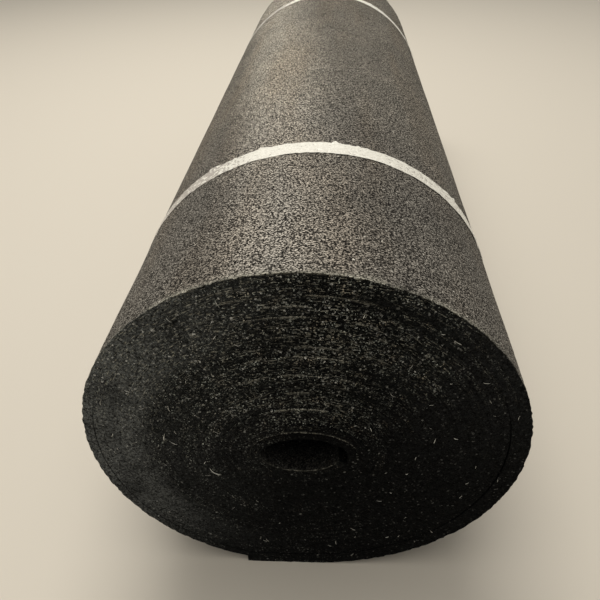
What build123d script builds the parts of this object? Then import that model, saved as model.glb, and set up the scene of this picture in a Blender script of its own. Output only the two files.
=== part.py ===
"""A roll of bonded rubber granulate matting, lying on its side with two bands of tape round it.

The mat was wound by hand, without a core tube, so the hole in the middle is an oval. The roll
has settled under its own weight: the turns are pressed together under the hole and hang a little
apart above it. The outer end of the mat lies flat on the floor under the roll, as a step in the
outline. The inner end is such a step in the wall of the hole. The line between the turns runs
from near the one step to near the other, as a groove in both ends of the roll.

The roll lies along Y on the plane Z = 0, and X = 0 is midway between its two sides. Angles in its
section are in degrees, counted from +X towards +Z. The mat winds outwards clockwise in a view
along +Y, so its winding angle counts the other way. It starts from 0 at the inner end.
"""
import os
from math import cos, radians, sin

from build123d import *

# Driving dimensions, in millimetres and degrees
mat_thickness = 8.0
mat_width = 1250.0         # across the mat, which is along the roll
full_turns = 18            # turns at the left, above and at the right of the hole
bore_width = 76.0
bore_height = 40.0
side_gap = 0.25            # mean air between two turns beside the hole
top_gap = 1.0              # mean air between two turns above the hole
squeeze = 0.3              # how much thinner a turn is under the hole, under the weight above
inner_end_angle = -15.0    # where the inner end of the mat stops in the hole
tail_reach = 61.0          # from X = 0 to the outer end of the mat, under the left side
flat_reach = 24.0          # from X = 0 to where the underside leaves the floor on the right
groove_width = 1.0         # the line between the turns, as it opens at the ends of the roll
groove_depth = 4.0
tape_width = 28.0
tape_thickness = 0.3
tape_inset_near = 205.0    # from the near end of the roll to the first band
tape_inset_far = 230.0     # from the far end of the roll to the second band

# Winding angles where the mat passes the lowest and the highest place
first_low = 90.0 + inner_end_angle
last_low = first_low + 360.0 * (full_turns + 1)
first_high = first_low + 180.0
last_high = last_low - 180.0

# Sizes that follow
pressed_pitch = mat_thickness - squeeze
bore_floor = (full_turns + 1) * pressed_pitch
roll_width = bore_width + 2 * full_turns * (mat_thickness + side_gap)
roll_height = bore_floor + bore_height + full_turns * (mat_thickness + top_gap)
middle_x = -(mat_thickness + side_gap) / 4     # puts X = 0 midway between the sides

# The spacing of the points that a curve goes through, and where the grooves stop, as angles
point_step = 20.0
groove_margin = 4.0
last_curved = last_low - 35.0


def outward_share(winding):
    """How far out a line between two turns lies: 0 at the hole, 1 at the outside of the roll."""
    return (winding - first_high) / (last_high - first_high)


def between(at_bore, at_outside, winding):
    """A size of the line between two turns, from its values at the hole and at the outside."""
    return at_bore + (at_outside - at_bore) * outward_share(winding)


def turn_point(winding, outwards=0.0):
    """A point of the line between two turns, or a little outwards of it.

    The line is an oval that grows as it winds. Its lower half ends on the pressed turns below
    it. On the left it also drops towards the floor, until the turn beneath it holds it up.
    """
    angle = radians(inner_end_angle - winding)
    middle = between(bore_floor + bore_height / 2, roll_height / 2, winding)
    held_up = pressed_pitch * (last_low - winding) / 360
    reach = between(bore_height, roll_height, winding) / 2
    if sin(angle) < 0:
        reach = middle - held_up
        if cos(angle) < 0:
            reach += between(0, mat_thickness, winding)
    x = middle_x + between(bore_width, roll_width, winding) / 2 * cos(angle)
    z = max(middle + reach * sin(angle), held_up)
    return Vector(x + outwards * cos(angle), z + outwards * sin(angle))


def turn_points(start, end, outwards=0.0):
    """Evenly spaced points of the line between two turns, both ends included."""
    steps = max(2, round((end - start) / point_step))
    return [turn_point(start + (end - start) * step / steps, outwards) for step in range(steps + 1)]


def turn_direction(winding):
    """The direction in which the line between two turns winds outwards."""
    return (turn_point(winding + 0.5) - turn_point(winding - 0.5)).normalized()


def first_winding(start, reached):
    """The first winding angle from a start, in steps of a quarter degree, where a test holds."""
    winding = start
    while not reached(winding):
        winding += 0.25
    return winding


def off_the_tail(winding):
    """Whether the outer turn has left the flat end of the mat beneath it."""
    return turn_point(winding).Y > pressed_pitch * (last_low - winding) / 360


def takes_tape(winding):
    """Whether a tape pulled up from the floor at the outer end of the mat touches the roll."""
    point = turn_point(winding)
    direction = turn_direction(winding)
    return direction.X * point.Y >= direction.Y * (point.X + tail_reach)


# Where the outer turn leaves the tail, where a tight tape lands on it, and the grooves' ends
root = first_winding(last_low - 360, off_the_tail)
tape_lands = first_winding(root, takes_tape)
groove_start = 360 + groove_margin
groove_end = root - groove_margin
floor_corner = (-tail_reach, 0)
floor_exit = (flat_reach, 0)


def round_side(outwards, height):
    """The curve over the roll from where the tape lands to where it comes down at a height."""
    over_the_top = Spline(turn_points(tape_lands, last_curved, outwards))
    start = over_the_top @ 1
    end = Vector(flat_reach, height)
    lever = (end - start).length / 3
    Bezier(start, start + turn_direction(last_curved) * lever, end + Vector(lever, 0), end)
    return over_the_top


def tape_loop(outwards, height):
    """One side of a tape, pulled tight round the roll, with its lowest stretch at a height."""
    over_the_top = round_side(outwards, height)
    Polyline((flat_reach, height), (-tail_reach - outwards, height), over_the_top @ 0)


# The bands of tape. Each is pressed into the underside, so that it reaches no lower than the mat
bands = {
    "tape_band_near": Plane.XZ.offset(mat_width / 2 - tape_inset_near),
    "tape_band_far": Plane.XZ.offset(tape_inset_far + tape_width - mat_width / 2),
}
tapes = []
for node, band_plane in bands.items():
    with BuildPart() as tape_band:
        with BuildSketch(band_plane):
            with BuildLine():
                tape_loop(tape_thickness, 0)
            make_face()
            with BuildLine():
                tape_loop(0, tape_thickness)
            make_face(mode=Mode.SUBTRACT)
        extrude(amount=-tape_width)
    tape_band.part.label = node
    tapes.append(tape_band.part)

# The mat, wound into one solid with its hole
with BuildPart() as mat_roll:
    with BuildSketch(Plane.XZ):
        with BuildLine():
            round_side(0, 0)
            under_side = Spline(turn_points(root, tape_lands))
            Polyline(floor_exit, floor_corner, (-tail_reach, mat_thickness), under_side @ 0)
        make_face()
        with BuildLine():
            bore_wall = Spline(turn_points(0, 360))
            Line(bore_wall @ 1, bore_wall @ 0)
        make_face(mode=Mode.SUBTRACT)
    extrude(amount=mat_width / 2, both=True)
    with BuildSketch(Plane.XZ.offset(mat_width / 2)):
        with BuildLine():
            inner_sides = []
            outer_sides = []
            for turn in range(full_turns):
                turn_start = groove_start + (groove_end - groove_start) * turn / full_turns
                turn_end = groove_start + (groove_end - groove_start) * (turn + 1) / full_turns
                inner_sides.append(Spline(turn_points(turn_start, turn_end, -groove_width / 2)))
                outer_sides.append(Spline(turn_points(turn_start, turn_end, groove_width / 2)))
            Line(inner_sides[0] @ 0, outer_sides[0] @ 0)
            Line(inner_sides[-1] @ 1, outer_sides[-1] @ 1)
        make_face()
    groove = extrude(amount=-groove_depth, mode=Mode.SUBTRACT)
    mirror(groove, about=Plane.XZ, mode=Mode.SUBTRACT)
    add(tapes, mode=Mode.SUBTRACT)
mat_roll.part.label = "mat_roll"

os.makedirs("parts", exist_ok=True)
for piece in [mat_roll.part] + tapes:
    export_step(piece, f"parts/{piece.label}.step")

print("size", mat_roll.part.bounding_box().size, "middle of the weight", mat_roll.part.center())
print("mat length", mat_roll.part.volume / mat_width / mat_thickness)
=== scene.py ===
# %% [markdown]
# A roll of rubber granulate matting. Old tyres are ground to granules of about 2 mm, which are
# glued to a block and peeled to a mat 8 mm thick. The mat is wound up without a core, and two
# bands of clear packing tape keep it shut. It lies on its side, so it has settled to an oval.
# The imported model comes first. It says where everything is, and all that follows fits it.

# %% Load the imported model
from math import radians

import bpy
import numpy as np
from mathutils import Matrix, Vector


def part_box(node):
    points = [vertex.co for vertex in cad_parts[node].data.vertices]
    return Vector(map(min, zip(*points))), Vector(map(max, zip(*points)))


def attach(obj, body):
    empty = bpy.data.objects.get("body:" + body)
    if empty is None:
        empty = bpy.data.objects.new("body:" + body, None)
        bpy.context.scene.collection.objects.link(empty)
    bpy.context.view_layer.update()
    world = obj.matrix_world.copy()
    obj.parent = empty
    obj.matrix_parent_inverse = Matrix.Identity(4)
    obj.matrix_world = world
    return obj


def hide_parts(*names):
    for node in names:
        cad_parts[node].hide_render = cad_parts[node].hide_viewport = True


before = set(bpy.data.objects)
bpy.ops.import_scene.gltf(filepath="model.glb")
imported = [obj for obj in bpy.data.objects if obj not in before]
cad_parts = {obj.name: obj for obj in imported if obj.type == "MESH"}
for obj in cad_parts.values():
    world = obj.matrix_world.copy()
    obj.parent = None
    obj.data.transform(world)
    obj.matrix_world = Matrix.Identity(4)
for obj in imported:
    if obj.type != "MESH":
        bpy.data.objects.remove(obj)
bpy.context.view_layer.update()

roll_low, roll_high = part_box("mat_roll")
roll_width = roll_high[0] - roll_low[0]
roll_length = roll_high[1] - roll_low[1]
roll_height = roll_high[2] - roll_low[2]
near_end = roll_low[1]
far_end = roll_high[1]
print("roll", roll_width, roll_length, roll_height)

# %% [markdown]
# The camera stands close to the near end and looks down on it, as whoever took the photograph
# did. Such a wide view makes the near end large and the far end small. The picture is a cut from
# a taller one, so its middle isn't where the lens points. A shift of the lens does the same.

# %% Camera
camera_place = Vector((0.0223, -0.9661, 0.5557))
camera_pitch = 41.09       # degrees below the horizon
camera_yaw = 4.05          # degrees to the left
camera_roll = -1.59
focal_length = 36.02       # in millimetres, on a sensor 36 mm wide
lens_shift = 0.1257

camera_data = bpy.data.cameras.new("camera")
camera_data.sensor_width = 36.0
camera_data.lens = focal_length
camera_data.shift_y = lens_shift
camera_data.clip_start = 0.02
camera = bpy.data.objects.new("camera", camera_data)
camera.matrix_world = (
    Matrix.Translation(camera_place)
    @ Matrix.Rotation(radians(camera_yaw), 4, "Z")
    @ Matrix.Rotation(radians(90 - camera_pitch), 4, "X")
    @ Matrix.Rotation(radians(camera_roll), 4, "Z")
)
bpy.context.scene.collection.objects.link(camera)
bpy.context.scene.camera = camera
print("camera at", tuple(camera_place))

# %% [markdown]
# The hall has lamps high up and beyond the roll. They light the top of the roll and the floor,
# and leave the near end in its own shade. So the main light is a large soft panel up there, and
# a weaker one hangs over the near end. A small one at the left reaches the end itself, and a
# dim surround fills the rest.

# %% Light
main_light = {"place": (-0.42, 1.3, 2.7), "aim": (0.0, 0.1, 0.1), "size": 2.4, "power": 77.0}
over_light = {"place": (0.1, -1.1, 2.7), "aim": (0.1, -1.0, 0.0), "size": 2.6, "power": 24.0}
side_light = {"place": (-1.3, -1.0, 0.45), "aim": (-0.15, -0.62, 0.18), "size": 0.5, "power": 1.5}
light_colour = (1.0, 0.955, 0.88)
surround_colour = (0.28, 0.273, 0.258)


def soft_panel(name, place, aim, size, power):
    """A square area light that shines from one place towards another."""
    data = bpy.data.lights.new(name, "AREA")
    data.size = size
    data.energy = power
    data.color = light_colour
    panel = bpy.data.objects.new(name, data)
    panel.location = place
    panel.rotation_euler = (Vector(aim) - Vector(place)).to_track_quat("-Z", "Y").to_euler()
    bpy.context.scene.collection.objects.link(panel)


soft_panel("main_light", **main_light)
soft_panel("over_light", **over_light)
soft_panel("side_light", **side_light)
world = bpy.data.worlds.new("surround")
world.use_nodes = True
world.node_tree.nodes["Background"].inputs["Color"].default_value = (*surround_colour, 1)
bpy.context.scene.world = world
bpy.context.scene.view_settings.view_transform = "Standard"
print("three soft panels, the strongest of", main_light["power"], "W")

# %% [markdown]
# The floor is one plain pale square, large enough to reach past the edge of every view.

# %% Floor
floor_colour = (0.64, 0.595, 0.515)
floor_reach = 12.0
floor_mesh = bpy.data.meshes.new("floor")
floor_mesh.from_pydata(
    [(x, y, 0) for x, y in ((-1, -1), (1, -1), (1, 1), (-1, 1))], [], [(0, 1, 2, 3)])
floor_mesh.transform(Matrix.Scale(floor_reach, 4))
floor = bpy.data.objects.new("floor", floor_mesh)
bpy.context.scene.collection.objects.link(floor)
floor_finish = bpy.data.materials.new("floor_finish")
floor_finish.use_nodes = True
floor_shader = floor_finish.node_tree.nodes["Principled BSDF"]
floor_shader.inputs["Base Color"].default_value = (*floor_colour, 1)
floor_shader.inputs["Roughness"].default_value = 0.6
floor_mesh.materials.append(floor_finish)
print("floor", 2 * floor_reach, "m wide")

# %% [markdown]
# Everything about the roll follows from one line: the line between two turns in a cut through
# the roll. It winds outwards from the hole as an oval that grows by one thickness a turn. Under
# the hole the turns are pressed together, and above it they hang a little apart. The winding
# angle counts from the inner end of the mat, in degrees, clockwise for someone at the camera.

# %% The line between two turns
mat_thickness = 0.008
squeeze = 0.0003           # how much thinner a turn is under the hole
full_turns = 18
bore_width = 0.076
bore_height = 0.040
side_gap = 0.00025         # mean air between two turns beside the hole
inner_end_angle = -15.0    # degrees from +X towards +Z
tail_reach = 0.061         # from the middle to the outer end of the mat, under the left side

first_low = 90.0 + inner_end_angle
last_low = first_low + 360.0 * (full_turns + 1)
first_high = first_low + 180.0
last_high = last_low - 180.0
pressed_pitch = mat_thickness - squeeze
bore_floor = (full_turns + 1) * pressed_pitch
middle_x = -(mat_thickness + side_gap) / 4


def between(at_bore, at_outside, winding):
    """A size from its values at the hole and at the outside, in proportion to the winding."""
    share = (winding - first_high) / (last_high - first_high)
    return at_bore + (at_outside - at_bore) * share


def held_up(winding):
    """Height of the pile of pressed turns beneath the line at the lowest place."""
    return pressed_pitch * (last_low - winding) / 360


def line_between(winding):
    """X and Z of the line between two turns.

    X is the middle plus the half width times the cosine of the angle, Z is the middle plus the
    half height times its sine. In the lower half the half height is what is left above the
    pile, and at the left a bit more, where the pile then holds the line up.
    """
    angle = np.radians(inner_end_angle - winding)
    middle = between(bore_floor + bore_height / 2, roll_height / 2, winding)
    above = between(bore_height, roll_height, winding) / 2
    below = middle - held_up(winding)
    drop = between(0.0, mat_thickness, winding) * (np.cos(angle) < 0)
    half_height = np.where(np.sin(angle) > 0, above, below + drop)
    x = middle_x + between(bore_width, roll_width, winding) / 2 * np.cos(angle)
    z = np.maximum(middle + half_height * np.sin(angle), held_up(winding))
    return np.stack([x, z], axis=-1)


fine_windings = np.arange(last_low - 360, last_low - 300, 0.1)
right_of_the_tail = line_between(fine_windings)[:, 0] > -tail_reach
tail_winding = float(fine_windings[right_of_the_tail][-1])
print("the mat ends at winding", round(tail_winding, 1))

# %% [markdown]
# Nothing made of ground tyres is even. Two kinds of unevenness are used below. A slow wander
# along the mat comes from random heights that a smooth curve joins. Relief in space comes from
# random heights at the corners of a grid of cubes, smoothed between the corners. A modifier with
# a noise texture could do it too. A function can be held back to the rim or the cut, and it gives
# the same heights in each run.

# %% Unevenness
def slow_wander(position, spacing, seed):
    """Values from -1 to 1 along a line: random at every spacing, joined by smooth steps."""
    steps = np.asarray(position) / spacing
    cell = np.floor(steps).astype(int)
    part = steps - cell
    knots = np.random.default_rng(seed).uniform(-1, 1, int(cell.max()) + 3)
    smooth = part * part * (3 - 2 * part)
    return knots[cell] * (1 - smooth) + knots[cell + 1] * smooth


def corner_value(corner):
    """A value from -1 to 1 for every grid corner: the scrambled product of its three numbers."""
    mixed = (corner * np.array([73856093, 19349663, 83492791])).sum(axis=-1)
    mixed = (mixed ^ (mixed >> 13)) * 1274126177 & 0x7FFFFFFF
    mixed = mixed ^ (mixed >> 15)
    return (mixed % 65536) / 32767.5 - 1


def relief(points, size):
    """Values from -1 to 1 in space: random at the corners of cubes of a size, smooth between."""
    steps = points / size
    cell = np.floor(steps).astype(np.int64)
    part = steps - cell
    smooth = part * part * (3 - 2 * part)
    total = np.zeros(points.shape[:-1])
    for corner in np.ndindex(2, 2, 2):
        weight = np.where(np.array(corner) == 1, smooth, 1 - smooth).prod(axis=-1)
        total += weight * corner_value(cell + np.array(corner))
    return total


print("a slow wander", slow_wander(np.linspace(0, 3, 7), 1.0, 0).round(2))

# %% [markdown]
# The mat is modelled as what it is: one long strip, wound up. A strip is a closed profile, 8 mm
# by the width of the mat, carried along the winding line. Its two long edges are what shows as
# the ends of the roll. Real edges give the turns, the gaps and the ragged rim for free, where a
# spiral drawn on a disc would stay flat.

# %% Two sides of the strip
widest_turn = 0.0088       # a turn fills its room up to this thickness
tightest_gap = 0.00005     # between two turns that touch
open_line = (6080.0, 6110.0, 6180.0, 6290.0, 6310.0)    # winding angles of an open line, and
open_width = (0.0, 0.0014, 0.0012, 0.0008, 0.0)         # how wide it stands open there
loose_windings = (165.0, 345.0)    # the stretch of the innermost turn above the hole
loose_droop = 0.0022       # how much lower it hangs in its middle
root_angle = 17.0          # the outermost turn leaves the tail this far past the lowest place


def loose(winding):
    """0 to 1 and back to 0, as a half wave, over the loose stretch above the hole."""
    start, end = loose_windings
    return np.sin(np.pi * np.clip((winding - start) / (end - start), 0, 1)) * (winding < end)


def strip_sides(winding):
    """Inner side of the mat in the cut, the outward direction, and the thickness there.

    The inner side is the line between two turns, and under the roll the tail stays flat. The
    outer side lies a thickness further along the normal: the pitch of the turns without a gap.
    The loose stretch is moved inwards as a whole.
    """
    inner = line_between(winding)
    tail = winding > last_low - 360
    inner[..., 1] = np.where(tail, held_up(winding), inner[..., 1])
    ahead = line_between(winding + 0.5) - line_between(winding - 0.5)
    ahead[tail] = (-1, 0)
    ahead /= np.linalg.norm(ahead, axis=-1, keepdims=True)
    outwards = np.stack([-ahead[..., 1], ahead[..., 0]], axis=-1)
    pitch = ((line_between(winding + 360) - inner) * outwards).sum(axis=-1)
    gap = tightest_gap * (1.5 + slow_wander(winding, 47.0, 3))
    above = winding + 360
    opening = np.interp(above, open_line, open_width)
    thickness = np.minimum(pitch, widest_turn) - gap - opening
    last_turn = above > last_low - 360 + root_angle
    thickness = np.where(last_turn, np.clip(pitch, pressed_pitch, mat_thickness), thickness)
    thickness = np.where(tail, inner[..., 1], thickness)
    return inner - outwards * (loose_droop * loose(winding))[:, None], outwards, thickness


some_windings = np.array([500.0, 2500.0, 4500.0, 6500.0])
print("four turns are", strip_sides(some_windings)[2].round(5), "m thick")

# %% [markdown]
# The closed profile has more points where more shows. Each long edge gets points across the
# thickness, for the grains that stand out of the cut. A row a little behind each corner keeps
# what happens at the edge from reaching further in. The outer side gets rows of points along the
# roll, close together near the ends and at the two bands of tape. The inner side, which the next
# turn covers, is one straight step.

# %% Profile of the strip
near_across = np.array([0.0, 0.0, 0.0, 0.06, 0.23, 0.41, 0.59, 0.77, 0.94, 1.0, 1.0])
near_inset = np.array([2.6, 0.6, 0.0, 0.0, 0.0, 0.0, 0.0, 0.0, 0.0, 0.0, 2.6]) / 1000
far_across = np.array([1.0, 1.0, 0.50, 0.0, 0.0])
far_inset = np.array([2.6, 0.0, 0.0, 0.0, 2.6]) / 1000
edge_depth = 0.0003        # points less deep than this belong to the cut edge


def strip_profile(rows):
    """The closed profile: share of the way across the mat, place along the roll, and cut edge.

    It goes outwards over the near edge, along the outer side by the given rows, back inwards
    over the far edge, and closes along the inner side. The last array is 1 on the cut edges.
    """
    across = np.concatenate([near_across, np.ones(len(rows)), far_across])
    along = np.concatenate([near_end + near_inset, rows, far_end - far_inset])
    inset = np.concatenate([near_inset, np.ones(len(rows)), far_inset])
    return across, along, (inset < edge_depth).astype(float)


print("the profile has", len(near_across) + len(far_across), "points besides its rows")

# %% [markdown]
# The turns don't end in one plane. Whoever rolled the mat up let them slip by half a millimetre
# or so. Above the hole the innermost turn is loose: it hangs a little lower, and its edge is
# pushed in. Grains stand out of every surface, most of all at the rim of the roll, which gets its
# ragged outline from them.

# %% Slip and relief
slip = 0.0005
loose_set_back = 0.0025    # how far the edge of the loose stretch is pushed in
grain_size = 0.0026
edge_relief = 0.00045      # height of the grains on the cut edges
rim_depth = 0.0030         # how far the rim of the roll reaches in from its end
rim_relief = 0.0026        # depth of the nicks in the rim
rim_level = 0.20           # the share of the rim relief that stands out, not in
surface_relief = 0.00035   # height of the grains on the outer side, at its ends
relief_depth = 0.08        # how far in from an end that height falls to nothing
surface_wave = 0.0005      # height of the slow waves on the outer side
wave_size = 0.07


def how_high(winding):
    """1 for a place straight above the hole, 0 for one beside it, -1 for one under it."""
    return np.sin(np.radians(inner_end_angle - winding))


def slipped(winding, seed):
    """How far each turn's edge stands in from the end plane, in metres: least under the hole."""
    freedom = 0.6 + 0.4 * how_high(winding)
    wander = slow_wander(winding, 210.0, seed) + 0.5 * slow_wander(winding, 63.0, seed + 1)
    return slip * freedom * wander


def exposed(winding):
    """1 where nothing lies over the mat, 0 where the next turn covers it, with a short fade."""
    return np.clip((winding - (tail_winding - 360.0) - 2.0) / 6.0, 0, 1)


def near_an_end(along, depth):
    """1 at either end of the roll, falling evenly to 0 at a depth."""
    return np.clip(1 - (roll_length / 2 - np.abs(along)) / depth, 0, 1)


print("four turns slip by", slipped(some_windings, 11).round(5), "m")

# %% [markdown]
# Pale dust gathers on corners. It shows as a line round the mouth of the hole, as a pale rim on
# top of the roll, and as short thin lines between the turns above the hole. These lines are partly
# a painted highlight, where the top edges of the turns catch the light from above. How much of it
# a point has is kept with the point, for the material to read.

# %% Dust and painted highlight on the corners
lower_lip_windings = (5, 12, 40, 80, 165)
lower_lip_dust = (0, 0.6, 1, 1, 0)
upper_lip_windings = (520, 560, 600, 655, 700)
upper_lip_dust = (0, 0.5, 1.2, 1.2, 0)
first_dusty_winding = 1200
dust_depth = 0.0007        # how far in from the end the dusty corners reach
dusty_rim_depth = 0.010


def corner_dust_and_highlight(winding, across, along):
    """Dust from 0 to 1: short lines on the turns' outer corners, partly painted highlight, and
    lines round the hole.
    """
    # Painted highlight, together with dust: the lines between the turns stay at the top of the
    # end, where their edges catch the light from above.
    near_the_top = np.clip((how_high(winding) - 0.84) / 0.10, 0, 1)
    some_turns = np.clip(0.7 + slow_wander(winding, 60.0, 31), 0, 1)
    patches = np.clip(0.5 + 1.5 * slow_wander(winding, 5.0, 23), 0, 1)
    above_hole = near_the_top * some_turns * patches * (winding > first_dusty_winding)
    lower_lip = np.interp(winding, lower_lip_windings, lower_lip_dust)
    upper_lip = np.interp(winding, upper_lip_windings, upper_lip_dust)
    broken = np.clip(0.75 + 0.8 * slow_wander(winding, 4.0, 37), 0.1, 1)
    outer_corner = np.clip(1 - np.abs(across - 1.0) / 0.09, 0, 1)
    inner_corner = np.clip(1 - across / 0.07, 0, 1)
    round_hole = ((lower_lip + upper_lip) * broken)[:, None] * inner_corner
    return (above_hole[:, None] * outer_corner + round_hole) * near_an_end(along, dust_depth)


def rim_dust(winding, across, along):
    """Dust from 0 to 1 on the outer side of the roll, along its rim and where it faces up."""
    high = np.clip(how_high(winding), 0, 1)
    patches = np.clip(0.6 + 0.6 * slow_wander(winding, 9.0, 29), 0, 1)
    rim = near_an_end(along, dusty_rim_depth) ** 2 * (across > 0.999)
    return (high * patches * exposed(winding))[:, None] * rim


print("the turns have dusty corners from winding", first_dusty_winding)

# %% [markdown]
# Every shape here is a tube in the wide sense: a closed ring of points carried along a path. So
# one function makes the faces for all of them: for the strip, the bands of tape and the fibres.

# %% Tubes
sharp_corner = radians(50)


def tube_mesh(name, points, endless):
    """A mesh from points in a grid of [tube, step, place in the ring, xyz].

    Each face joins a point, the same point a step ahead, that one's neighbour in the ring and
    the point's own neighbour. An endless tube's last step joins its first. Others get two caps.
    """
    tubes, steps, ring = points.shape[:3]
    index = np.arange(tubes * steps * ring).reshape(tubes, steps, ring)
    here = index if endless else index[:, :-1]
    ahead = np.roll(index, -1, axis=1) if endless else index[:, 1:]
    quads = np.stack([here, ahead, np.roll(ahead, -1, axis=2), np.roll(here, -1, axis=2)], axis=-1)
    faces = quads.reshape(-1, 4).tolist()
    if not endless:
        faces += index[:, 0].tolist() + index[:, -1, ::-1].tolist()
    mesh = bpy.data.meshes.new(name)
    mesh.from_pydata(points.reshape(-1, 3), [], faces)
    mesh.shade_smooth()
    mesh.set_sharp_from_angle(angle=sharp_corner)
    print(name, "has", 2 * quads.size // 4, "triangles")
    return mesh


def add_piece(name, mesh, slot_name, *nodes):
    """Puts a mesh into the scene as a piece of the roll, in place of the nodes it stands for."""
    piece = bpy.data.objects.new(name, mesh)
    bpy.context.scene.collection.objects.link(piece)
    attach(piece, "root")
    if nodes:
        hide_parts(*nodes)
    return piece


print("edges of more than", round(float(np.degrees(sharp_corner))), "degrees stay sharp")

# %% [markdown]
# The bands of tape were not put on quite square, so each lies a little further along the roll on
# its right than on its left. Where a band passes under the roll, the mat is pressed in by the
# thickness of the tape, so that the roll still rests on its whole length.

# %% Where the bands of tape are
tape_boxes = [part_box("tape_band_near"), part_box("tape_band_far")]
tape_spans = [(low[1], high[1]) for low, high in tape_boxes]
tape_skew = 0.025          # how much further along a band lies for every metre of X
tape_drawn_in = 0.0025     # how much narrower a band is than its span, on its near side
skew_room = 0.003          # how far the mat is pressed in beside a span, for the skew
tape_room = 0.0004         # the mat's lowest points under a band, above the floor
pressed_spans = [(low - skew_room, high + skew_room) for low, high in tape_spans]
print("bands of tape along the roll", tape_spans)


def lowest_allowed(along):
    """Height below which no point of the mat may lie, higher where a band passes under it."""
    under_tape = [(along > low) & (along < high) for low, high in pressed_spans]
    return tape_room * np.any(under_tape, axis=0)


# %% [markdown]
# Now the strip is wound, in two pieces: the turns that others cover, and the outermost one. The
# steps between its points are even along the mat, not in angle, or the outer turns would be
# coarse and the inner ones needlessly fine.

# %% Wind the strip
inner_step = 0.0025        # between two points along the covered turns
outer_step = 0.0030        # and along the outermost one
middle_row_count = 76
row_gap = 0.0004           # between a row of points and the edge of what is pressed in
wall_wear = 0.05           # how worn the wall of the hole is, next to 1 for the outside


def distance_along(line):
    """How far along a line of points each of them is, from 0 at the first."""
    return np.concatenate([[0], np.cumsum(np.linalg.norm(np.diff(line, axis=0), axis=1))])


def even_windings(start, end, step):
    """Winding angles from start to end that are one step apart along the line, in metres."""
    fine = np.linspace(start, end, int(end - start) + 1)
    length = distance_along(line_between(fine))
    count = int(length[-1] / step) + 1
    return np.interp(np.linspace(0, length[-1], count), length, fine)


def wound_strip(name, start, end, step, rows):
    """A stretch of the mat between two winding angles, closed at both cuts.

    A vertex is the inner side's point plus its share of the thickness, and its place along the
    roll. The loose stretch is pushed in at its edge. Relief moves points along the roll at the
    cut edges, and in or out on the outer side where nothing covers it.
    """
    winding = even_windings(start, end, step)
    across, along, cut = strip_profile(rows)
    inner, outwards, thickness = strip_sides(winding)
    flat = inner[:, None, :] + outwards[:, None, :] * (thickness[:, None] * across)[..., None]
    share = (along - near_end) / roll_length
    ends = slipped(winding, 11)[:, None] * (1 - share) - slipped(winding, 17)[:, None] * share
    # This share sets the loose stretch's edge back, and the finish also paints shade on that edge.
    set_back_and_shade = loose(winding)[:, None] * near_an_end(along, rim_depth)
    pushed_in = np.sign(along) * loose_set_back * set_back_and_shade
    points = np.stack([flat[..., 0], along + ends - pushed_in, flat[..., 1]], axis=-1)

    grain = relief(points, grain_size)
    bare = exposed(winding)[:, None] * (across > 0.999)
    fading = near_an_end(along, relief_depth) ** 0.5
    ragged_rim = rim_relief * near_an_end(along, rim_depth) * (rim_level - np.abs(grain))
    waves = surface_wave * relief(points, wave_size)
    lift = bare * (ragged_rim + surface_relief * fading * grain + waves)
    points[..., 0] += outwards[:, :1] * lift
    points[..., 2] += outwards[:, 1:] * lift
    points[..., 1] += np.sign(along) * cut * edge_relief * grain
    points[..., 2] = np.maximum(points[..., 2], lowest_allowed(along))

    mesh = tube_mesh(name, points[None], endless=False)
    dust_and_highlight = corner_dust_and_highlight(winding, across, along) + rim_dust(winding, across, along)
    hole_wall = (winding < 360)[:, None] * (across < 0.001)
    worn = (bare + wall_wear * hole_wall) * (1 - cut)
    labels = {
        "worn": worn,
        # Dust, with a painted highlight on the top edges of the turns.
        "dust_and_highlight": dust_and_highlight,
        # Painted shade on the set-back edge of the loose stretch.
        "set_back_and_shade": set_back_and_shade,
        "along_mat": np.broadcast_to(distance_along(inner)[:, None], dust_and_highlight.shape),
        "outwards": winding[:, None] / 360 * mat_thickness + across * mat_thickness,
    }
    for label, values in labels.items():
        layer = mesh.attributes.new(label, "FLOAT", "POINT")
        layer.data.foreach_set("value", values.ravel().astype(np.float32))
    return add_piece(name, mesh, "rubber_granulate", "mat_roll")


seam_winding = tail_winding - 368.0    # a little before the outer side comes free
dense_rows = np.concatenate([np.arange(0.004, 0.016, 0.002), np.arange(0.018, 0.08, 0.003)])
near_rows = near_end + dense_rows
far_rows = far_end - np.arange(0.006, 0.03, 0.006)[::-1]
pressed_edges = [edge for span in pressed_spans for edge in span]
beside_tape = [edge + side for edge in pressed_edges for side in (-row_gap, row_gap)]
even_rows = np.linspace(near_rows[-1], far_rows[0], middle_row_count)[1:-1]
middle_rows = np.sort(np.concatenate([even_rows, beside_tape]))
outer_rows = np.concatenate([near_rows, middle_rows, far_rows])
inner_turns = wound_strip("mat_inner_turns", 0.0, seam_winding, inner_step, [])
outer_turn = wound_strip("mat_outer_turn", seam_winding, tail_winding, outer_step, outer_rows)

# %% [markdown]
# The tape is stretched round the roll by hand. A tight band touches a body only where the body
# reaches furthest in some direction, and spans the hollows between. That is how its path is
# found: for each direction, the furthest point of the outline. So the tape bridges the step at
# the outer end of the mat by itself.

# %% Path of a tight band
outline_points = 1500
direction_step = 0.25      # degrees between two directions in which the outline is searched
tape_thickness = 0.00025
tape_clearance = 0.00045   # between the outline and the inner face of the film
tape_step = 0.0015         # between two points along the tape


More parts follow.
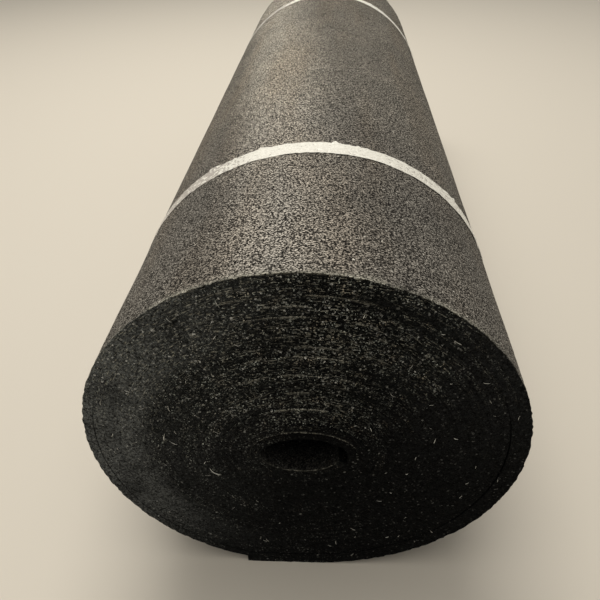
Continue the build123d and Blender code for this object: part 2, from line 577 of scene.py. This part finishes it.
def band_path():
    """Even points round the roll where a tight band lies, and the outward direction at each.

    For a direction, the band's point is the outline's furthest point that way, plus the
    clearance. All points are then spread evenly along the closed path.
    """
    winding = np.linspace(tail_winding - 359.0, tail_winding, outline_points)
    inner, outwards, thickness = strip_sides(winding)
    outline = inner + outwards * thickness[:, None]
    turn = np.radians(-90.0 - np.arange(0, 360, direction_step))
    directions = np.stack([np.cos(turn), np.sin(turn)], axis=-1)
    path = outline[(outline @ directions.T).argmax(axis=0)] + directions * tape_clearance
    path = np.concatenate([path, path[:1]])
    facing = np.concatenate([directions, directions[:1]])
    length = distance_along(path)
    even = np.linspace(0, length[-1], int(length[-1] / tape_step) + 1)[:-1]
    along_path = [np.interp(even, length, values) for values in (*path.T, *facing.T)]
    spread = np.stack(along_path, axis=-1)
    print("the tape is", round(float(length[-1]), 3), "m long")
    return spread[:, :2], spread[:, 2:], even


# %% [markdown]
# Packing tape on a rough mat doesn't lie still. It has crinkles, its edges wander, and here and
# there a small fold stands up at the edge that was pulled last. A single surface could stand for
# the film, but with both its faces the band is closed, like everything else here.

# %% Bands of tape
tape_columns = 19          # points across the tape
tape_edge_wander = 0.0004
tape_fold = 0.0020         # how far a fold sticks out at the far edge
tape_crinkle = 0.00028     # height of the crinkles
crinkle_size = 0.006
crinkle_stretch = (0.3, 1.0, 0.3)  # crinkles are drawn out round the roll
film_top = tape_room * 0.6         # the film's inner face where it lies on the floor


def wrap_band(name, node, span, seed):
    """A band of tape: both faces of the film, on a closed path round the roll.

    A point is the path's point, its place across the band with the skew added, and a crinkle
    outwards. Where the folds are, the far edge reaches further along the roll and outwards.
    Folds and crinkles are larger where the tape is slack.
    """
    path, facing, distance = band_path()
    across = np.linspace(-1, 1, tape_columns)
    low, high = span[0] + tape_drawn_in, span[1]
    middle, half = (low + high) / 2, (high - low) / 2
    wander = slow_wander(distance, 0.06, seed) + slow_wander(distance, 0.011, seed + 2)
    slack = np.clip(0.55 + 0.8 * slow_wander(distance, 0.05, seed + 4), 0, 1)
    ripple = slow_wander(distance, 0.0045, seed + 1) + 0.6 * slow_wander(distance, 0.013, seed + 3)
    fold = slack * np.clip(ripple * 0.8, 0, 1) ** 2
    far_side = np.clip(across, -0.4, 1) ** 6
    along = middle + across * (half - tape_edge_wander) + tape_edge_wander * wander[:, None]
    along = along + tape_fold * fold[:, None] * far_side + tape_skew * path[:, :1]
    flat = np.broadcast_to(path[:, None, :], (len(path), tape_columns, 2))
    bare = np.stack([flat[..., 0], along, flat[..., 1]], axis=-1)
    drawn_out = bare * np.array(crinkle_stretch)
    crinkle = relief(drawn_out, crinkle_size) + 0.5 * relief(bare, crinkle_size / 2)
    lift = tape_crinkle * crinkle * (0.6 + slack[:, None]) + surface_wave * relief(bare, wave_size)
    lift += tape_fold * 0.7 * fold[:, None] * far_side
    faces = []
    for side, order in ((tape_thickness, 1), (0.0, -1)):
        height = lift + side
        x = bare[..., 0] + facing[:, :1] * height
        z = bare[..., 2] + facing[:, 1:] * height
        lowest = np.clip(film_top - side, 0, None)
        faces.append(np.stack([x, bare[..., 1], np.maximum(z, lowest)], axis=-1)[:, ::order])
    mesh = tube_mesh(name, np.concatenate(faces, axis=1)[None], endless=True)
    return add_piece(name, mesh, "clear_tape", node)


near_tape = wrap_band("packing_tape_near", "tape_band_near", tape_spans[0], 41)
far_tape = wrap_band("packing_tape_far", "tape_band_far", tape_spans[1], 47)

# %% [markdown]
# Ground tyres still hold bits of the textile that was in them. Pale fibres, most of them a few
# millimetres long, stick to both ends of the roll. Each is a thin bent thread whose two ends dip
# into the mat. Three thicker ones, which catch the eye at the near end, are placed one by one.
# Hair would be the usual way for so many, but short tubes in one mesh keep their shape anywhere.

# %% Loose fibres
fibre_count = 150
fibre_length = (0.002, 0.008)
fibre_radius = (0.00014, 0.00028)
fibre_steps = 7
fibre_sides = 4
fibre_arch = 0.0007
fibre_dip = 0.0003         # how far inside the end plane a fibre starts and ends
seen_radius = 0.00042
seen_fibres = [            # X and Z of the start, heading, bend, and length
    (-0.1165, 0.1910, -105.0, 20.0, 0.0095),
    (-0.0845, 0.1500, -48.0, 80.0, 0.0160),
    (-0.1645, 0.1830, 62.0, 10.0, 0.0050),
]


def end_fibres():
    """Threads on both ends: a start, a heading that turns evenly, and a low arch outwards."""
    dice = np.random.default_rng(19)
    round_hole = dice.uniform(0, 360, fibre_count)
    outwards = 0.25 + 0.70 * dice.uniform(0, 1, fibre_count) ** 0.5
    start = np.stack([
        roll_width / 2 * outwards * np.cos(np.radians(round_hole)),
        roll_height / 2 * (1 + outwards * np.sin(np.radians(round_hole)))], axis=-1)
    heading = dice.uniform(0, 180, fibre_count)
    length = dice.uniform(*fibre_length, fibre_count)
    bend = dice.uniform(-50, 50, fibre_count)
    radius = dice.uniform(*fibre_radius, fibre_count)
    seen = len(seen_fibres)
    start[:seen] = [fibre[:2] for fibre in seen_fibres]
    heading[:seen], bend[:seen], length[:seen] = np.array(seen_fibres)[:, 2:].T
    radius[:seen] = seen_radius
    end = np.where((np.arange(fibre_count) % 2 == 0) | (np.arange(fibre_count) < seen), -1.0, 1.0)

    part = np.linspace(0, 1, fibre_steps)
    way = np.radians(heading[:, None] + bend[:, None] * (part - 0.5))
    stride = (length / (fibre_steps - 1))[:, None]
    x = start[:, :1] + np.cumsum(np.cos(way) * stride, axis=1)
    z = start[:, 1:] + np.cumsum(np.sin(way) * stride, axis=1)
    arch = fibre_arch * np.sin(np.pi * part) - fibre_dip
    y = end[:, None] * (roll_length / 2 + arch)
    sides = np.radians(np.arange(fibre_sides) * 360 / fibre_sides)
    taper = radius[:, None] * (0.4 + 0.6 * np.sin(np.pi * part))
    off_line = taper[..., None] * np.cos(sides)
    out_of_plane = taper[..., None] * np.sin(sides)
    return np.stack([
        x[..., None] - np.sin(way)[..., None] * off_line,
        y[..., None] + out_of_plane,
        z[..., None] + np.cos(way)[..., None] * off_line], axis=-1)


fibre_mesh = tube_mesh("loose_fibres", end_fibres(), endless=False)
fibres = add_piece("loose_fibres", fibre_mesh, "rubber_granulate")

# %% [markdown]
# Shader sums read best as sums. One small class wraps a socket, so that an expression such as
# 1 - mask adds the Math node by itself, and one method makes any other node.

# %% Shader expressions
class Value:
    """A node socket that can be added, subtracted, multiplied and raised to a power."""

    def __init__(self, finish, socket):
        self.finish = finish
        self.socket = socket

    def math(self, operation, *others, swap=False):
        """A Math node on this value and others, or on others and this value."""
        parts = [self, *others]
        if swap:
            parts.reverse()
        return self.finish.node("ShaderNodeMath", {"operation": operation}, dict(enumerate(parts)))

    def __add__(self, other):
        return self.math("ADD", other)

    def __sub__(self, other):
        return self.math("SUBTRACT", other)

    def __mul__(self, other):
        return self.math("MULTIPLY", other)

    def __pow__(self, other):
        return self.math("POWER", other)

    __radd__ = __add__
    __rmul__ = __mul__

    def __rsub__(self, other):
        return self.math("SUBTRACT", other, swap=True)

    def between(self, low, high):
        """0 below low, 1 above high, smooth between. With low above high it runs the other way."""
        if low > high:
            return 1 - self.between(high, low)
        return self.finish.node(
            "ShaderNodeMapRange", {"interpolation_type": "SMOOTHSTEP"},
            {"Value": self, "From Min": low, "From Max": high})


class Finish:
    """A material with one Principled shader and short ways to add nodes to it."""

    def __init__(self, name):
        self.material = bpy.data.materials.new(name)
        self.material.use_nodes = True
        self.tree = self.material.node_tree
        self.shader = self.tree.nodes["Principled BSDF"]

    def node(self, kind, settings=None, inputs=None, output=0):
        """Adds a node: its settings first, then values or links to its sockets."""
        made = self.tree.nodes.new(kind)
        for setting, value in (settings or {}).items():
            setattr(made, setting, value)
        for key, value in (inputs or {}).items():
            if isinstance(value, Value):
                self.tree.links.new(value.socket, made.inputs[key])
            else:
                made.inputs[key].default_value = value
        return Value(self, made.outputs[output])

    def place(self, stretch=None):
        """The point on the piece, in metres, or its three numbers each times a factor."""
        point = self.node("ShaderNodeTexCoord", output="Object")
        if stretch is None:
            return point
        return self.node("ShaderNodeVectorMath", {"operation": "MULTIPLY"}, {0: point, 1: stretch})

    def vector(self, x, y):
        """A point in a plane from its two numbers."""
        return self.node("ShaderNodeCombineXYZ", None, {"X": x, "Y": y})

    def coordinate(self, axis):
        """One of the three numbers of the point on the piece."""
        return self.node("ShaderNodeSeparateXYZ", None, {"Vector": self.place()}, axis)

    def attribute(self, name):
        """A number stored on the piece's points."""
        return self.node("ShaderNodeAttribute", {"attribute_name": name}, output="Fac")

    def noise(self, size, detail=2.0, roughness=0.5, at=None):
        """Cloudy values from 0 to 1 whose lumps are about one size across, in metres."""
        return self.node("ShaderNodeTexNoise", None, {
            "Vector": at or self.place(),
            "Scale": 1 / size,
            "Detail": detail,
            "Roughness": roughness,
        })

    def cells(self, size, at, output):
        """One output of a pattern of cells about one size across, in metres."""
        inputs = {"Vector": at or self.place(), "Scale": 1 / size}
        return self.node("ShaderNodeTexVoronoi", None, inputs, output)

    def grains(self, size, channel, at=None):
        """Cells, each with a random value from 0 to 1 of its own. Channels 0 to 2 differ."""
        colours = self.cells(size, at, "Color")
        return self.node("ShaderNodeSeparateColor", None, {"Color": colours}, channel)

    def grain_height(self, size, at=None):
        """Cells that are 1 in the middle of each, and lower towards its edge."""
        return 1 - self.cells(size, at, "Distance")

    def blend(self, mask, first, second, way="MIX"):
        """The first colour where the mask is 0, the second, or their product, where it is 1."""
        node = self.tree.nodes.new("ShaderNodeMix")
        node.data_type = "RGBA"
        node.blend_type = way
        # By number, because the sockets for numbers and for colours have the same names.
        sockets = {"Factor": node.inputs[0], "A": node.inputs[6], "B": node.inputs[7]}
        for key, value in {"Factor": mask, "A": first, "B": second}.items():
            if isinstance(value, Value):
                self.tree.links.new(value.socket, sockets[key])
            elif key == "Factor":
                sockets[key].default_value = value
            else:
                sockets[key].default_value = (*value, 1)
        return Value(self, node.outputs[2])

    def bump(self, height, distance):
        """A normal that follows a height, whose full step is a distance in metres."""
        return self.node("ShaderNodeBump", None, {"Height": height, "Distance": distance})

    def set(self, **inputs):
        """Sets the shader's sockets. Underscores in a name stand for spaces."""
        for key, value in inputs.items():
            socket = self.shader.inputs[key.replace("_", " ")]
            if isinstance(value, Value):
                self.tree.links.new(value.socket, socket)
            else:
                socket.default_value = value


# %% [markdown]
# Rubber granulate shows grains of one or two millimetres, finer crumbs, and pits where a grain is
# missing. A cell pattern in space gives every grain a tone of its own, and cuts through it at the
# ends. The outer side of the mat was peeled and rubbed, so its grains are flat and grey with dust,
# with black pits between them. A broad pale band along the top, which drifts to the left towards
# the far end, is partly dust and partly a painted sheen from the lamps beyond, and the flanks
# beside it are painted darker, as shade. The far part is paler as a whole, which is painted sheen
# too, and slow brown streaks run along the roll.

# %% The worn outer side
coarse_grain = 0.0020
speck_size = 0.0014
rubbed_grain = 0.0015      # the outer side is rubbed down, so less of each grain shows
rubbed_crumb = 0.0008
pit_size = 0.0015
grain_stretch = (0.95, 1.05, 0.95)    # grains are a little longer round the roll than along it
band_middle = -0.076       # X of the middle of the pale band halfway along the roll
band_drift = 0.083         # how much further left it is for every metre towards the far end
band_left = (-0.055, -0.005)       # from the band's middle, where it begins and where it is full
band_right = (0.100, 0.010)


def worn_face(finish, pits):
    """Colour of the outer side: grains from dark to pale, a dusty band of painted sheen, black
    pits, tinted streaks.
    """
    off_the_band = finish.coordinate("X") + finish.coordinate("Y") * band_drift - band_middle
    # Partly dust and partly painted sheen: a pale band along the top that drifts left towards the
    # far end.
    dust_and_sheen_band = off_the_band.between(*band_left) * off_the_band.between(*band_right)
    drawn_out = finish.place(grain_stretch)
    rounded = finish.grain_height(rubbed_grain, drawn_out).between(0.35, 0.75)
    tones = finish.grains(rubbed_grain, 0, drawn_out) * 0.55
    tones = tones + finish.grains(rubbed_crumb, 0, drawn_out) * 0.45
    lightness = rounded * 0.45 + tones * 0.60
    # The band gets the pale colour, and the flanks beside it get the darker one, as painted shade.
    pale = finish.blend(dust_and_sheen_band, (0.350, 0.325, 0.284), (0.740, 0.690, 0.605))
    face = finish.blend(lightness.between(0.22, 0.67), (0.026, 0.022, 0.018), pale)
    streaks = finish.noise(0.045, 2.0, at=finish.place((1.0, 0.12, 1.0)))
    face = finish.blend(streaks.between(0.40, 0.70) * 0.45, face, (1.0, 0.90, 0.80), "MULTIPLY")
    patches = finish.noise(0.09, 3.0)
    face = finish.blend(patches.between(0.62, 0.30) * 0.45, face, (0.62, 0.64, 0.66), "MULTIPLY")
    # Painted sheen: the far part, seen at a grazing angle, is paler as a whole.
    far_sheen = finish.coordinate("Y").between(-0.50, -0.10)
    face = finish.blend(far_sheen, face, (1.38, 1.37, 1.32), "MULTIPLY")
    specks = finish.grains(speck_size, 1) ** 150
    face = finish.blend(specks, face, (0.80, 0.77, 0.68))
    return finish.blend(pits, face, (0.006, 0.005, 0.004))


# %% [markdown]
# The cut ends are nearly black. Pale flecks and crumbs show all over, more in some turns than in
# others. Painted light makes them denser towards the top and the left, where the end is lit more,
# and sparser to the right. On the left a grey haze, partly fine dust and partly painted glare,
# lies over the outer turns and hides some of them. The knife smeared other crumbs along the cut.
# So these smears follow the mat, not the space around it: they read how far along and how far out
# in the winding a point is, and are drawn out lengthwise.

# %% The cut ends
smear_shrink = 0.22        # a smear is longer than it is wide by one over this
turn_shrink = 0.04         # and so are the stretches of a turn with more or fewer flecks
fleck_size = 0.0008
crumb_size = 0.0010


def cut_face(finish):
    """Colour of the ends: black, a dusty haze with painted glare, pale flecks, crumbs, smears,
    specks.
    """
    clouds = finish.noise(0.035, 3.0)
    # Painted light: these gradients make the end paler towards the top and the left, where more
    # light falls, and darker to the right.
    to_the_left = finish.coordinate("X").between(0.04, -0.17)
    to_the_right = finish.coordinate("X").between(0.02, 0.16)
    upwards = finish.coordinate("Z").between(0.10, 0.30)
    along_mat = finish.attribute("along_mat")
    outwards = finish.attribute("outwards")
    turn_by_turn = finish.noise(0.007, 1.0, at=finish.vector(along_mat * turn_shrink, outwards))
    # Fleck density with painted light in it: random clouds and turns, plus the gradients above.
    flecks_and_painted_light = clouds * 0.55 + (turn_by_turn - 0.5) * 1.1 + to_the_left * 0.07 + upwards * 0.42
    flecks_and_painted_light = (flecks_and_painted_light - to_the_right * 0.42).between(0.22, 0.98)
    outer_turns = outwards.between(0.090, 0.112)
    often = flecks_and_painted_light * (1 - to_the_left * outer_turns * 0.6) * 0.80 + 0.02
    off_the_floor = finish.coordinate("Z").between(0.02, 0.13) * 0.8 + 0.2
    dull = finish.grains(coarse_grain, 0)
    # The haze is partly fine dust and partly painted glare from the left, and it fades towards the
    # floor.
    haze = to_the_left ** 1.5 * (outer_turns * 0.75 + 0.25)
    haze = haze * off_the_floor * clouds.between(0.05, 0.55)
    haze = haze + to_the_right * upwards * 0.10
    cut = finish.blend(dull, (0.0001, 0.0001, 0.0001), (0.0070, 0.0074, 0.0076))
    powdery = finish.noise(0.0016, 2.0).between(0.34, 0.66) * 0.75 + dull * 0.35 + 0.10
    cut = finish.blend(haze * powdery, cut, (0.151, 0.158, 0.153))
    brown = finish.noise(0.012, 2.0).between(0.48, 0.66) * (1 - to_the_left * 0.7)
    crumb = finish.blend(brown, (0.800, 0.850, 0.760), (0.870, 0.770, 0.590))
    cut = finish.blend(finish.grains(fleck_size, 1) ** 34 * often, cut, crumb)
    cut = finish.blend(finish.grains(crumb_size, 2) ** 40 * often, cut, crumb)
    smears = finish.noise(0.0011, 2.0, 0.55, finish.vector(along_mat * smear_shrink, outwards))
    cut = finish.blend(smears.between(0.57, 0.68) * upwards * flecks_and_painted_light, cut, (0.380, 0.370, 0.305))
    specks = finish.grains(speck_size, 0) ** 55
    cut = finish.blend(specks * (flecks_and_painted_light * 0.88 + 0.12), cut, (0.74, 0.74, 0.69))
    # Painted shade: the set-back edge of the loose stretch is darkened, as the shadow in its
    # recess.
    return finish.blend(finish.attribute("set_back_and_shade") * 0.6, cut, (0.0008, 0.0008, 0.0008))


# %% [markdown]
# Both colours meet in one finish. How worn a point is chooses between them, and the dust and
# painted highlight that were kept with the points come on top. The same grains and pits make the
# fine relief.

# %% Rubber granulate
def rubber_granulate():
    """The finish of the mat, for its sides and its ends."""
    finish = Finish("rubber_granulate")
    worn = finish.attribute("worn")
    # Dust, with a painted highlight on the top edges of the turns above the hole.
    dust_and_highlight = finish.attribute("dust_and_highlight")
    pits = finish.noise(pit_size, 2.0, 0.6, finish.place(grain_stretch)).between(0.485, 0.400)
    colour = finish.blend(worn, cut_face(finish), worn_face(finish, pits))
    powder = finish.noise(0.0018, 2.0).between(0.35, 0.60)
    colour = finish.blend(dust_and_highlight * powder * 0.9, colour, (0.55, 0.53, 0.44))
    height = finish.grain_height(coarse_grain) + finish.noise(0.0009, 2.0) * 0.35 - pits * 0.9
    finish.set(
        Base_Color=colour,
        Roughness=0.85 - worn * 0.30,
        Specular_IOR_Level=0.06,
        Normal=finish.bump(height, 0.0018),
    )
    return finish.material


granulate = rubber_granulate()
for piece in (inner_turns, outer_turn):
    piece.data.materials.append(granulate)
print("the mat has", len(granulate.node_tree.nodes), "nodes in its finish")

# %% [markdown]
# Clear tape looks white on a rough black mat, because it touches only the highest grains, and
# air lies behind it elsewhere. So the film is milky, nearly opaque, glossy, and mottled where
# it sticks, which it does most on the left flank of the roll. Fine lines from the stretching run
# round the roll, lengthwise in the tape. Layers of glass would be nearer to the truth, but a film
# whose opacity follows one mottle looks the same, and stays free of noise.

# %% Clear tape
def clear_tape():
    """The finish of the tape: a milky film, mottled, with gloss and lines round the roll."""
    finish = Finish("clear_tape")
    mottle = finish.noise(0.0034, 3.0, 0.65)
    left_side = finish.coordinate("X").between(0.08, -0.06) * 0.6 + 0.4
    flank = finish.coordinate("Z").between(0.3485, 0.322) * left_side
    stuck = (mottle - flank * 0.23).between(0.36, 0.29)
    lines = finish.noise(0.0012, 2.0, at=finish.place((0.06, 1.0, 0.06)))
    cloudy = finish.noise(0.0018, 3.0).between(0.62, 0.38)
    milky = finish.blend(cloudy, (0.97, 0.955, 0.865), (0.85, 0.825, 0.735))
    colour = finish.blend(stuck, milky, (0.70, 0.65, 0.59))
    finish.set(
        Base_Color=colour,
        Alpha=0.98 - stuck * 0.33 - flank * 0.05,
        Roughness=0.20 + mottle * 0.25,
        Specular_IOR_Level=0.8,
        Normal=finish.bump(lines * 0.5 + mottle, 0.0018),
    )
    return finish.material


tape_film = clear_tape()
for piece in (near_tape, far_tape):
    piece.data.materials.append(tape_film)
print("the tape has", len(tape_film.node_tree.nodes), "nodes in its finish")

# %% [markdown]
# The fibres are dull and off-white, and the black of the mat has rubbed off on some stretches.

# %% Fibre
def textile_fibre():
    """The finish of the loose fibres: dull, and darker or paler from place to place."""
    finish = Finish("textile_fibre")
    shade = finish.noise(0.004, 2.0).between(0.30, 0.70)
    finish.set(
        Base_Color=finish.blend(shade, (0.30, 0.29, 0.25), (0.72, 0.71, 0.64)),
        Roughness=0.85,
        Normal=finish.bump(finish.noise(0.0004, 1.0), 0.0001),
    )
    return finish.material


fibres.data.materials.append(textile_fibre())
print("the fibres have their finish")
